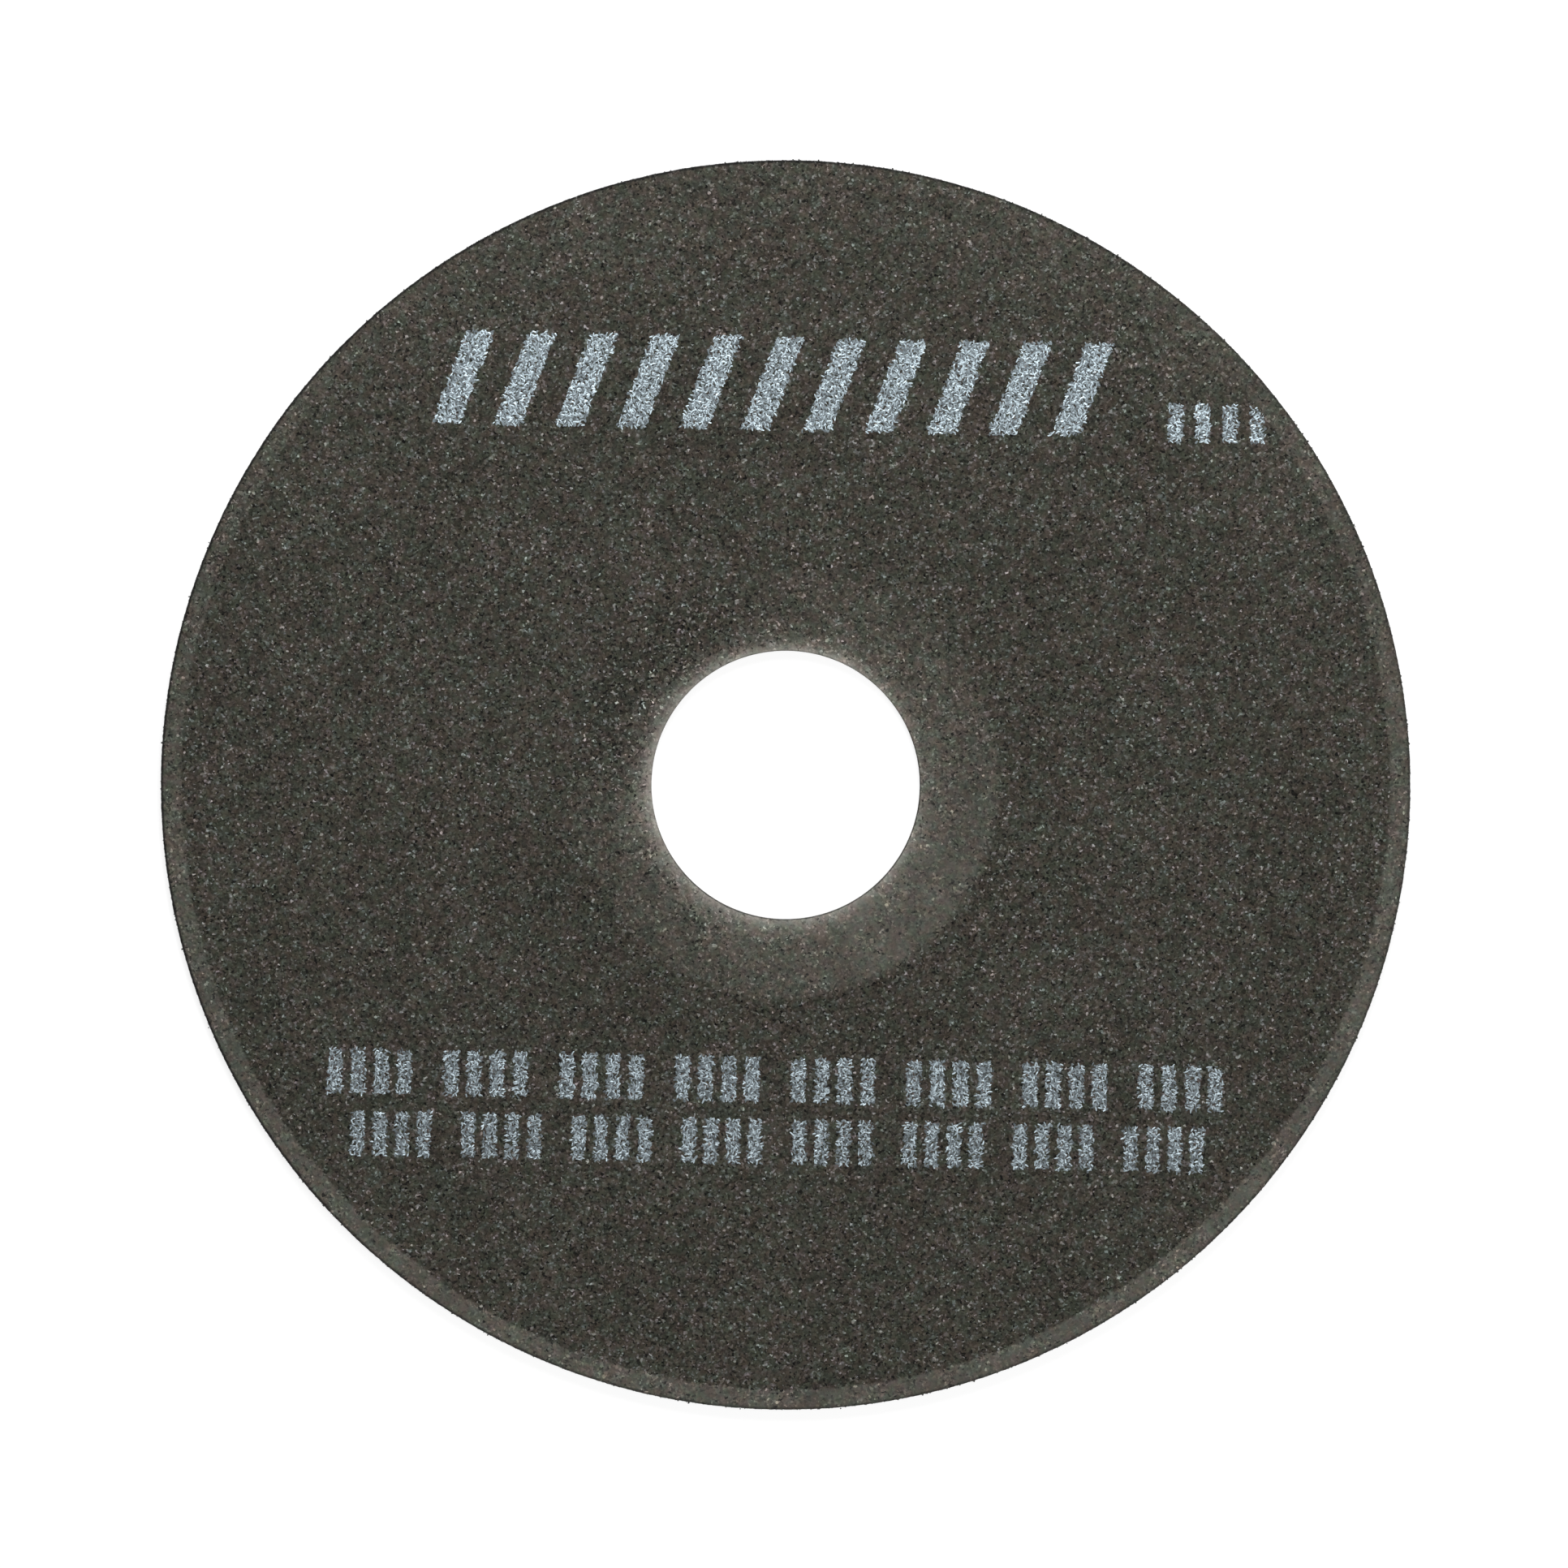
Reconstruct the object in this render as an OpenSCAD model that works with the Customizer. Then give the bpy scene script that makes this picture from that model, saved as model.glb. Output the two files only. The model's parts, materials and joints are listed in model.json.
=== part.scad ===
// Thin resin-bonded abrasive cut-off wheel, moulded in one piece around a plain arbor bore.
// The wheel lies flat: +Z runs along the bore axis and z = 0 is the underside.

/* [Wheel] */
// Outside diameter of the wheel
wheel_d = 150; // [100:1:200]
// Thickness over the smooth bands
wheel_t = 2; // [1:0.1:4]

/* [Bore] */
// Diameter of the arbor that the wheel slides onto
arbor_d = 32; // [20:0.1:40]
// How much wider the bore is than the arbor
arbor_clearance = 0.2; // [0.1:0.05:0.5]

/* [Faces] */
// Width of the smooth clamping band around the bore
hub_band_w = 9.1; // [5:0.1:15]
// Width of the smooth band along the rim
rim_band_w = 2.5; // [1:0.1:5]
// Depth of the open-grained face below the smooth bands
face_relief = 0.05; // [0.02:0.01:0.2]
// Width of the slope between a band and the open-grained face
relief_slope_w = 0.3; // [0.1:0.1:2]

/* [Edges] */
// Radius of the broken corners at the rim
rim_edge_r = 0.2; // [0.05:0.05:0.4]
// Radius of the broken corners at the bore
bore_edge_r = 0.2; // [0.05:0.05:0.4]

/* [Hidden] */

$fn = 180;

// Colour of the bonded grain
grain_colour = [0.26, 0.25, 0.22];

// Radii and mid-plane worked out from the sizes above
wheel_r = wheel_d / 2;
bore_r = (arbor_d + arbor_clearance) / 2;
hub_band_r = bore_r + hub_band_w;
rim_band_r = wheel_r - rim_band_w;
mid_z = wheel_t / 2;

// How far a cut runs past the surface that it opens
cut_margin = 1;

// What rounding to radius r takes off a square corner at the origin
module corner_waste(r) {
    difference() {
        translate([-cut_margin, -cut_margin])
            square(r + cut_margin);
        translate([r, r])
            circle(r);
    }
}

// Waste of the two underside corners, first at the bore and then at the rim
module underside_corners() {
    translate([bore_r, 0])
        corner_waste(bore_edge_r);
    translate([wheel_r, 0])
        mirror([1, 0])
            corner_waste(rim_edge_r);
}

// Shallow relief that leaves the hub band and the rim band standing, on the underside
module underside_relief() {
    polygon([
        [hub_band_r, 0],
        [hub_band_r, -cut_margin],
        [rim_band_r, -cut_margin],
        [rim_band_r, 0],
        [rim_band_r - relief_slope_w, face_relief],
        [hub_band_r + relief_slope_w, face_relief]
    ]);
}

// Draws a cut of the underside, and its mirror image on the top
module on_both_faces() {
    children();
    translate([0, mid_z])
        mirror([0, 1])
            translate([0, -mid_z])
                children();
}

// Half section of the wheel, from the bore to the rim
module wheel_section() {
    difference() {
        translate([bore_r, 0])
            square([wheel_r - bore_r, wheel_t]);
        on_both_faces() {
            underside_corners();
            underside_relief();
        }
    }
}

// The whole wheel: one moulded disc of grain and resin
module abrasive_wheel() {
    color(grain_colour)
        rotate_extrude()
            wheel_section();
}

abrasive_wheel();
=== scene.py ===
import json
import math
import random

import bmesh
import bpy
import numpy as np
from mathutils import Euler, Matrix, Vector, noise


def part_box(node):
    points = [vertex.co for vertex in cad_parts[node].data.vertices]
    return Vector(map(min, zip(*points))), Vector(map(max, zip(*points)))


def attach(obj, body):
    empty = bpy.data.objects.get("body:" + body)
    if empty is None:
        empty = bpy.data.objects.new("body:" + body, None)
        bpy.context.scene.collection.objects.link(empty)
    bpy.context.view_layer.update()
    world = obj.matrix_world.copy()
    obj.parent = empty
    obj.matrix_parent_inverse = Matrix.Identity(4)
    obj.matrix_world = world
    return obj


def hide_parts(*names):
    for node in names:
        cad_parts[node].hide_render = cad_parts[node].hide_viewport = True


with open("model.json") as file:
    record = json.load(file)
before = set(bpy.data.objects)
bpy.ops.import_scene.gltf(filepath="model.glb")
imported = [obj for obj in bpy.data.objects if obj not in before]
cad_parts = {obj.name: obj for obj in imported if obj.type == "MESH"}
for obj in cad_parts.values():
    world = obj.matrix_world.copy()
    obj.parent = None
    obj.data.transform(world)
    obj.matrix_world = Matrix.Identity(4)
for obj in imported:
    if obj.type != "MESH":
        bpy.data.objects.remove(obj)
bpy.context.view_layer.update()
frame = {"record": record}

bl_info = {
    "name": "Cut-off wheel",
    "version": (1, 0, 0),
    "blender": (4, 5, 0),
    "location": "3D View > Sidebar > Cut-off wheel",
    "description": "Builds a resin-bonded cut-off wheel with its grain, its stripe print and a white studio",
    "category": "Add Mesh",
}

MM = 0.001
BODY = "root"
NODE = "abrasive_wheel"

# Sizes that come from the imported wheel
LOW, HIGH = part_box(NODE)
WHEEL_R = (HIGH.x - LOW.x) / 2
WHEEL_T = HIGH.z - LOW.z
MID_Z = LOW.z + WHEEL_T / 2
MOUNTS = {mount["name"]: mount for mount in frame["record"]["mounts"]}
BORE_R = MOUNTS["arbor_bore"]["dims"]["r_mm"] * MM
BORE_EDGE_R = (WHEEL_T - MOUNTS["arbor_bore"]["dims"]["length_mm"] * MM) / 2
HUB_BAND_R = 2 * MOUNTS["flange_seat_top"]["pos_m"][0] - BORE_R


# Sizes and colours that a user would change


def length_prop(label, text, default):
    """A length in metres that a user can change."""
    return bpy.props.FloatProperty(
        name=label, description=text, default=default, precision=5, subtype="DISTANCE", unit="LENGTH"
    )


def colour_prop(label, text, default):
    """A linear colour that a user can change."""
    return bpy.props.FloatVectorProperty(
        name=label, description=text, default=default, size=3, min=0.0, max=1.0, subtype="COLOR"
    )


def count_prop(label, text, default):
    """A whole number that a user can change."""
    return bpy.props.IntProperty(name=label, description=text, default=default, min=0)


class WheelSizes(bpy.types.PropertyGroup):
    """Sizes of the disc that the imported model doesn't name."""

    rim_band_w: length_prop("Rim band", "Width of the smooth band along the rim", 2.5 * MM)
    rim_edge_r: length_prop("Rim corner", "Radius of the broken corners at the rim", 0.2 * MM)
    relief: length_prop("Relief", "Depth of the open-grained face below the bands", 0.05 * MM)
    slope_w: length_prop("Slope", "Width of the slope beside a band", 0.3 * MM)
    steps: count_prop("Steps", "Faces around the wheel", 1800)


class GritSizes(bpy.types.PropertyGroup):
    """The exposed abrasive grains."""

    grain_r: length_prop("Grain", "Usual radius of an exposed grain", 0.13 * MM)
    on_face: count_prop("On a face", "Exposed grains on the open face", 15000)
    on_band: count_prop("On the bands", "Exposed grains on the hub band: twice those on the rim band", 900)
    on_rim: count_prop("On the rim", "Exposed grains around the rim", 7000)


class PrintSizes(bpy.types.PropertyGroup):
    """The stripes printed in silver ink."""

    flake_r: length_prop("Ink fleck", "Usual radius of a fleck of ink", 0.18 * MM)
    flake_gap: length_prop("Fleck gap", "Distance between neighbouring flecks", 0.265 * MM)
    tilt: bpy.props.FloatProperty(
        name="Tilt",
        description="How far the print is turned on the wheel",
        default=math.radians(-1.2),
        subtype="ANGLE",
        unit="ROTATION",
    )


class FinishColours(bpy.types.PropertyGroup):
    """Linear colours of the grain, the resin and the ink, and of the corner line of dust and painted shade.
    """

    face: colour_prop("Open face", "Grain and resin of the open face", (0.0490, 0.0472, 0.0372))
    band: colour_prop("Smooth bands", "Pressed resin of the smooth bands", (0.083, 0.081, 0.068))
    lip: colour_prop("Bore lip", "Pale resin skin at the bore", (0.290, 0.279, 0.250))
    # The palest grains are partly painted glints
    speck: colour_prop("Speck", "Tint of the palest grains in the mix", (0.0465, 0.0472, 0.0460))
    # The corner line is partly dust and partly painted shade, darkest where a corner turns away from the
    # lamps
    corner: colour_prop("Corner", "Dark line along the corners of rim and bore", (0.011, 0.011, 0.010))
    grain: colour_prop("Grain", "A bare abrasive grain", (0.105, 0.105, 0.098))
    rim_grain: colour_prop("Rim grain", "A grain at the cut edge, dark with dust", (0.040, 0.039, 0.035))
    ink: colour_prop("Ink", "Silver-blue printing ink", (0.66, 0.795, 0.87))
    thin_ink: colour_prop("Thin ink", "The same ink where it is printed thinly", (0.50, 0.60, 0.655))


class StageSizes(bpy.types.PropertyGroup):
    """The studio around the wheel."""

    field_w: length_prop("Field", "Width of the view at the wheel", 188.08 * MM)
    distance: length_prop("Distance", "Camera height above the wheel", 1.3)
    floor_w: length_prop("Floor", "Width of the floor", 8.0)


# Shader nodes

# Noises of the materials: patterns per metre, detail, and a shift that keeps them apart
NOISES = {
    "small_clouds": (330.0, 3.0, (0.0, 0.0, 0.0)),
    "large_clouds": (60.0, 2.0, (0.4, 0.1, 0.2)),
    "band_wear": (1400.0, 3.0, (0.0, 0.0, 0.0)),
    "band_wander": (90.0, 2.0, (0.3, 0.7, 0.0)),
    "hub_patches": (170.0, 3.0, (0.9, 0.2, 0.0)),
    "corner_shade_rag": (2600.0, 2.0, (0.6, 0.3, 0.8)),
    "grain_patches": (300.0, 2.0, (0.5, 0.8, 0.1)),
    "warm_tint": (800.0, 2.0, (0.1, 0.5, 0.9)),
    "cool_tint": (900.0, 2.0, (0.7, 0.2, 0.6)),
    "crystal_flaws": (12000.0, 1.0, (0.0, 0.0, 0.0)),
    "ink_mottle": (6000.0, 1.0, (0.0, 0.0, 0.0)),
    "paper": (40.0, 2.0, (0.0, 0.0, 0.0)),
}

# Where most of the values of a noise lie, and their middle
NOISE_SPAN = (0.3, 0.7)
NOISE_MIDDLE = 0.5

# Looks that vary round the wheel: an angle, two points and the values there. The look changes between the
# points, which lie on the way from the side across from the angle (0) to the angle itself (1). Most are
# painted light and shade that follow the lamps: sheen on the rim band towards the bottom, a lighter face
# near the rim at the top, painted shade on the hub band at the upper left, a paler, wider lip on the left
# and dark corner lines where the corners turn away from the light.
BY_SIDE = {
    "rim_band_sheen": (-80.0, 0.0, 0.8, 0.25, 1.0),
    "painted_light_face": (78.0, 0.6, 0.95, 0.0, 0.24),
    "torn_shaded_hub": (140.0, 0.80, 0.97, 0.0, 1.0),
    "lip": (15.0, 0.8, 1.0, 1.0, 0.62),
    "lip_fade": (195.0, 0.5, 1.0, 0.9 * MM, 1.4 * MM),
    "rim_shade_line": (150.0, 0.35, 0.75, 0.5, 1.0),
    "bore_shade_line": (-65.0, 0.35, 0.7, 0.0, 0.8),
}


class Weaver:
    """Adds nodes to one material and links them in short calls."""

    def __init__(self, name):
        self.material = bpy.data.materials.new(name)
        self.material.use_nodes = True
        self.tree = self.material.node_tree
        self.tree.nodes.clear()
        self.place = self.node("ShaderNodeTexCoord").outputs["Object"]

    def node(self, kind, **settings):
        made = self.tree.nodes.new(kind)
        for key, value in settings.items():
            setattr(made, key, value)
        return made

    def feed(self, socket, value):
        if isinstance(value, bpy.types.NodeSocket):
            self.tree.links.new(value, socket)
        elif isinstance(value, (tuple, list)) and len(value) == 3 and socket.type == "RGBA":
            socket.default_value = (*value, 1.0)
        else:
            socket.default_value = value

    def math(self, operation, *values, clamp=False):
        made = self.node("ShaderNodeMath", operation=operation, use_clamp=clamp)
        for socket, value in zip(made.inputs, values):
            self.feed(socket, value)
        return made.outputs[0]

    def vector(self, operation, *values):
        made = self.node("ShaderNodeVectorMath", operation=operation)
        for socket, value in zip(made.inputs, values):
            self.feed(socket, value)
        return made.outputs["Value" if operation in ("LENGTH", "DOT_PRODUCT") else "Vector"]

    def remap(self, value, low, high, to_low=0.0, to_high=1.0, smooth=False):
        made = self.node("ShaderNodeMapRange", interpolation_type="SMOOTHSTEP" if smooth else "LINEAR")
        for name, given in (
            ("Value", value),
            ("From Min", low),
            ("From Max", high),
            ("To Min", to_low),
            ("To Max", to_high),
        ):
            self.feed(made.inputs[name], given)
        return made.outputs["Result"]

    def ramp(self, value, *stops):
        """A curve through (position, value) stops, as a grey colour ramp."""
        made = self.node("ShaderNodeValToRGB")
        elements = made.color_ramp.elements
        while len(elements) < len(stops):
            elements.new(0.5)
        for element, (position, level) in zip(elements, stops):
            element.position = position
            element.color = (level, level, level, 1.0)
        self.feed(made.inputs["Fac"], value)
        return made.outputs["Color"]

    def mix(self, share, first, second, blend="MIX"):
        made = self.node("ShaderNodeMix", data_type="RGBA", blend_type=blend)
        self.feed(made.inputs["Factor"], share)
        self.feed(made.inputs["A"], first)
        self.feed(made.inputs["B"], second)
        return made.outputs["Result"]

    def tinted(self, colour, tint, share=1.0):
        """A colour multiplied by another, fully or by a share."""
        return self.mix(share, colour, tint, "MULTIPLY")

    def mix_value(self, share, first, second):
        made = self.node("ShaderNodeMix", data_type="FLOAT")
        self.feed(made.inputs["Factor"], share)
        self.feed(made.inputs["A"], first)
        self.feed(made.inputs["B"], second)
        return made.outputs["Result"]

    def noise(self, name):
        """One of the named noises, about 0.5 in the middle."""
        scale, detail, shift = NOISES[name]
        made = self.node("ShaderNodeTexNoise", noise_dimensions="3D")
        self.feed(made.inputs["Vector"], self.vector("ADD", self.place, shift))
        self.feed(made.inputs["Scale"], scale)
        self.feed(made.inputs["Detail"], detail)
        return made.outputs["Fac"]

    def worn(self, value, name, reach):
        """A value pushed up and down by a named noise."""
        centred = self.math("SUBTRACT", self.noise(name), NOISE_MIDDLE)
        return self.math("MULTIPLY_ADD", centred, reach, value)

    def cells(self, scale, place):
        """A pattern of cells, each with its own random colour."""
        made = self.node("ShaderNodeTexVoronoi", voronoi_dimensions="3D", feature="F1")
        self.feed(made.inputs["Vector"], place)
        self.feed(made.inputs["Scale"], scale)
        return made

    def warped(self, scale, reach, detail=1.0):
        """Object coordinates pushed about by noise, up to about half the reach each way."""
        made = self.node("ShaderNodeTexNoise", noise_dimensions="3D")
        self.feed(made.inputs["Vector"], self.place)
        self.feed(made.inputs["Scale"], scale)
        self.feed(made.inputs["Detail"], detail)
        centred = self.vector("SUBTRACT", made.outputs["Color"], (NOISE_MIDDLE, NOISE_MIDDLE, NOISE_MIDDLE))
        return self.vector("MULTIPLY_ADD", centred, (reach, reach, reach), self.place)

    def channel(self, colour, name):
        made = self.node("ShaderNodeSeparateColor")
        self.feed(made.inputs["Color"], colour)
        return made.outputs[name]

    def grey(self, value):
        """A value as a grey colour."""
        made = self.node("ShaderNodeCombineColor")
        for name in ("Red", "Green", "Blue"):
            self.feed(made.inputs[name], value)
        return made.outputs["Color"]

    def flat_place(self):
        """Object coordinates without their height."""
        return self.vector("MULTIPLY", self.place, (1.0, 1.0, 0.0))

    def radius(self):
        """Distance from the bore axis."""
        return self.vector("LENGTH", self.flat_place())

    def side(self, degrees):
        """1 on the side of the wheel at that angle, and 0 on the side across from it."""
        direction = (math.cos(math.radians(degrees)), math.sin(math.radians(degrees)), 0.0)
        around = self.vector("NORMALIZE", self.flat_place())
        return self.remap(self.vector("DOT_PRODUCT", around, direction), -1.0, 1.0)

    def by_side(self, name, smooth=False):
        """The value of a look that varies round the wheel."""
        degrees, *span = BY_SIDE[name]
        return self.remap(self.side(degrees), *span, smooth=smooth)

    def bump(self, height, distance, strength):
        made = self.node("ShaderNodeBump")
        self.feed(made.inputs["Height"], height)
        self.feed(made.inputs["Distance"], distance)
        self.feed(made.inputs["Strength"], strength)
        return made.outputs["Normal"]

    def surface(self, colour, roughness, normal=None, specular=0.5, metallic=0.0, ior=1.5):
        shader = self.node("ShaderNodeBsdfPrincipled")
        self.feed(shader.inputs["Base Color"], colour)
        self.feed(shader.inputs["Roughness"], roughness)
        self.feed(shader.inputs["Specular IOR Level"], specular)
        self.feed(shader.inputs["Metallic"], metallic)
        self.feed(shader.inputs["IOR"], ior)
        if normal is not None:
            self.feed(shader.inputs["Normal"], normal)
        self.finish(shader.outputs["BSDF"])
        return self.material

    def finish(self, shader):
        self.feed(self.node("ShaderNodeOutputMaterial").inputs["Surface"], shader)


# Bonded abrasive

# How far wear and wander move the edges of the bands, and how far those edges run out inwards and outwards
BAND_WEAR = 0.7 * MM
BAND_WANDER = 0.5 * MM
RIM_BAND_IN = 0.15 * MM
RIM_BAND_OUT = 0.2 * MM
HUB_BAND_IN = 0.6 * MM
HUB_BAND_OUT = 1.2 * MM

# Width of the paler part of the open face inside the rim band: painted light, shown on the upper side only
PALE_FACE_W = 12.0 * MM

# Hub band: the angle where it is pressed smoothest and its painted sheen is brightest, how fast that fades
# round the wheel and how much it adds
HUB_SHEEN_ANGLE = -48.0
HUB_FALLOFF = 2.8
HUB_PRESSED = 0.64

# Hub band: what is pressed on all sides but the torn, shaded one, and its patches (noise from, to; strength
# from, to)
HUB_LEAST = 0.30
HUB_PATCHY = (0.30, 0.62, 0.70, 1.1)

# Corner lines of dust and painted shade: raggedness, reach in from the rim and down from a face, in corner
# radii
CORNER_SHADE_RAG = 0.25 * MM
RIM_LINE_REACH = 2.4
LINE_DEPTH = 2.5

# Where the painted shade line at the bore starts to fade, and where it ends
BORE_LINE_IN = 0.08 * MM
BORE_LINE_OUT = 0.22 * MM

# Grains of the mix to the metre, and the noise that bends their outlines
GRAINS_PER_M = 3950.0
BENDS_PER_M = 2600.0
BEND_REACH = 0.42 * MM

# How light the grains of the mix are against the middle one: (share of the grains, lightness). The darkest
# are painted shade in the pits between grains, and the brightest are partly pale grains, partly painted
# glints.
TONE_STOPS = (
    (0.0, 0.02),
    (0.03, 0.20),
    (0.10, 0.50),
    (0.30, 0.82),
    (0.50, 1.00),
    (0.70, 1.22),
    (0.88, 1.75),
    (0.96, 2.6),
    (0.99, 4.2),
    (1.0, 7.0),
)
TONE_TOP = TONE_STOPS[-1][1]

# Tones between which a grain takes on the tint of the palest ones
PALE_TONES = (1.15, 2.6)

# Contrast of the tones against the open face: on the torn, shaded part, on the bands (noise from, to;
# contrast from, to) and on the lip
TORN_CONTRAST = 1.30
BAND_CONTRAST = (0.38, 0.62, 0.30, 0.82)
LIP_CONTRAST = 0.15

# Painted shade that darkens the torn part of the hub band, on the side away from the lamps
TORN_PAINTED_SHADE = 0.84

# Slow clouds of light and dark in the mix
SMALL_CLOUDS = (0.86, 1.14)
LARGE_CLOUDS = (0.92, 1.08)

# Slow tints in the mix, and the share of them that shows on the lip
TINT_SPAN = (0.35, 0.65)
GREEN_TINT = (0.90, 1.041, 0.955)
RED_TINT = (1.147, 0.959, 0.960)
YELLOW_TINT = (1.0, 1.0, 0.93)
BLUE_TINT = (1.0, 1.0, 1.07)
LIP_TINT = 0.35

# Roughness of the grains, from dull to glassy, and of the pressed resin, and how strongly both shine
GLOSS_STOPS = ((0.0, 0.85), (0.80, 0.80), (0.88, 0.30), (1.0, 0.20))
PRESSED_ROUGHNESS = 0.55
RESIN_SPECULAR = 0.25

# How steeply the grains' facets lean on the open face and where it is pressed
OPEN_LEAN = 0.55
PRESSED_LEAN = 0.13


def cloudy_tone(weaver):
    """Slow lighter and darker clouds in the mix, about 1 in the middle."""
    small = weaver.remap(weaver.noise("small_clouds"), *NOISE_SPAN, *SMALL_CLOUDS)
    large = weaver.remap(weaver.noise("large_clouds"), *NOISE_SPAN, *LARGE_CLOUDS)
    return weaver.math("MULTIPLY", small, large)


def facet_height(weaver, cell, place, steepness):
    """Height of a facet on each cell, which leans its own way."""
    local = weaver.vector("SUBTRACT", place, cell.outputs["Position"])
    lean = weaver.node("ShaderNodeCombineXYZ")
    for axis, channel in (("X", "Green"), ("Y", "Blue")):
        pick = weaver.channel(cell.outputs["Color"], channel)
        weaver.feed(lean.inputs[axis], weaver.remap(pick, 0.0, 1.0, -1.0, 1.0))
    slope = weaver.vector("DOT_PRODUCT", local, lean.outputs["Vector"])
    return weaver.math("MULTIPLY", slope, steepness)


def rim_mask(weaver, radius, sizes):
    """Where the rim band lies, with a painted sheen that makes it strongest towards the bottom, and the face
    that pales towards it on the upper side, a painted light.
    """
    rim_band_r = WHEEL_R - sizes.rim_band_w
    band = weaver.remap(radius, rim_band_r - RIM_BAND_IN, rim_band_r + RIM_BAND_OUT, smooth=True)
    band = weaver.math("MULTIPLY", band, weaver.by_side("rim_band_sheen"))
    pale = weaver.remap(radius, rim_band_r - PALE_FACE_W, rim_band_r, smooth=True)
    pale = weaver.math("MULTIPLY", pale, weaver.by_side("painted_light_face"))
    return weaver.math("MAXIMUM", band, pale)


def hub_masks(weaver, radius):
    """Where the hub band is pressed smooth, with painted sheen towards the lower right, and where it is torn
    open, with painted shade.
    """
    within = weaver.remap(radius, HUB_BAND_R - HUB_BAND_IN, HUB_BAND_R + HUB_BAND_OUT, 1.0, 0.0, smooth=True)
    torn_and_shaded = weaver.by_side("torn_shaded_hub", smooth=True)
    # Painted sheen: the hub band lighter and smoother towards the lower right
    pressed = weaver.math("POWER", weaver.side(HUB_SHEEN_ANGLE), HUB_FALLOFF)
    least = weaver.remap(torn_and_shaded, 0.0, 1.0, HUB_LEAST, 0.0)
    pressed = weaver.math("MULTIPLY_ADD", pressed, HUB_PRESSED, least)
    patchy = weaver.remap(weaver.noise("hub_patches"), *HUB_PATCHY)
    pressed = weaver.math("MULTIPLY", within, weaver.math("MULTIPLY", pressed, patchy), clamp=True)
    return pressed, weaver.math("MULTIPLY", torn_and_shaded, within)


def lip_mask(weaver, radius):
    """Where the pale skin at the bore lies. It fades out from the bore, and painted light makes it paler and
    wider on the left, where the bore's rounded edge faces the light.
    """
    past_bore = weaver.math("SUBTRACT", BORE_R, radius)
    faded = weaver.math("DIVIDE", past_bore, weaver.by_side("lip_fade", smooth=True))
    skin = weaver.math("EXPONENT", weaver.math("MINIMUM", faded, 0.0))
    return weaver.math("MULTIPLY", skin, weaver.by_side("lip", smooth=True))


def near_faces(weaver, edge_r):
    """1 at the corners of the two faces, and 0 in the middle of the wheel's thickness."""
    place = weaver.node("ShaderNodeSeparateXYZ")
    weaver.feed(place.inputs["Vector"], weaver.place)
    off_middle = weaver.math("ABSOLUTE", weaver.math("SUBTRACT", place.outputs["Z"], MID_Z))
    return weaver.remap(off_middle, WHEEL_T / 2 - LINE_DEPTH * edge_r, WHEEL_T / 2 - edge_r, smooth=True)


def corner_shade_lines(weaver, sizes):
    """The corners of the rim and the bore: a thin ragged dark line, partly dust and partly painted shade,
    darkest where a corner turns away from the lamps.
    """
    radius = weaver.worn(weaver.radius(), "corner_shade_rag", CORNER_SHADE_RAG)
    inner_end = WHEEL_R - RIM_LINE_REACH * sizes.rim_edge_r
    rim = weaver.remap(radius, inner_end, WHEEL_R - sizes.rim_edge_r, smooth=True)
    rim = weaver.math("MULTIPLY", rim, weaver.by_side("rim_shade_line"))
    rim = weaver.math("MULTIPLY", rim, near_faces(weaver, sizes.rim_edge_r))
    bore = weaver.remap(radius, BORE_R + BORE_LINE_IN, BORE_R + BORE_LINE_OUT, 1.0, 0.0, smooth=True)
    bore = weaver.math("MULTIPLY", bore, weaver.by_side("bore_shade_line"))
    bore = weaver.math("MULTIPLY", bore, near_faces(weaver, BORE_EDGE_R))
    return weaver.math("MAXIMUM", rim, bore)


def mix_tint(weaver):
    """Slow tints in the mix: green to red, and yellow to blue."""
    warm = weaver.remap(weaver.noise("warm_tint"), *TINT_SPAN)
    cool = weaver.remap(weaver.noise("cool_tint"), *TINT_SPAN)
    return weaver.tinted(weaver.mix(warm, GREEN_TINT, RED_TINT), weaver.mix(cool, YELLOW_TINT, BLUE_TINT))


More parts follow.
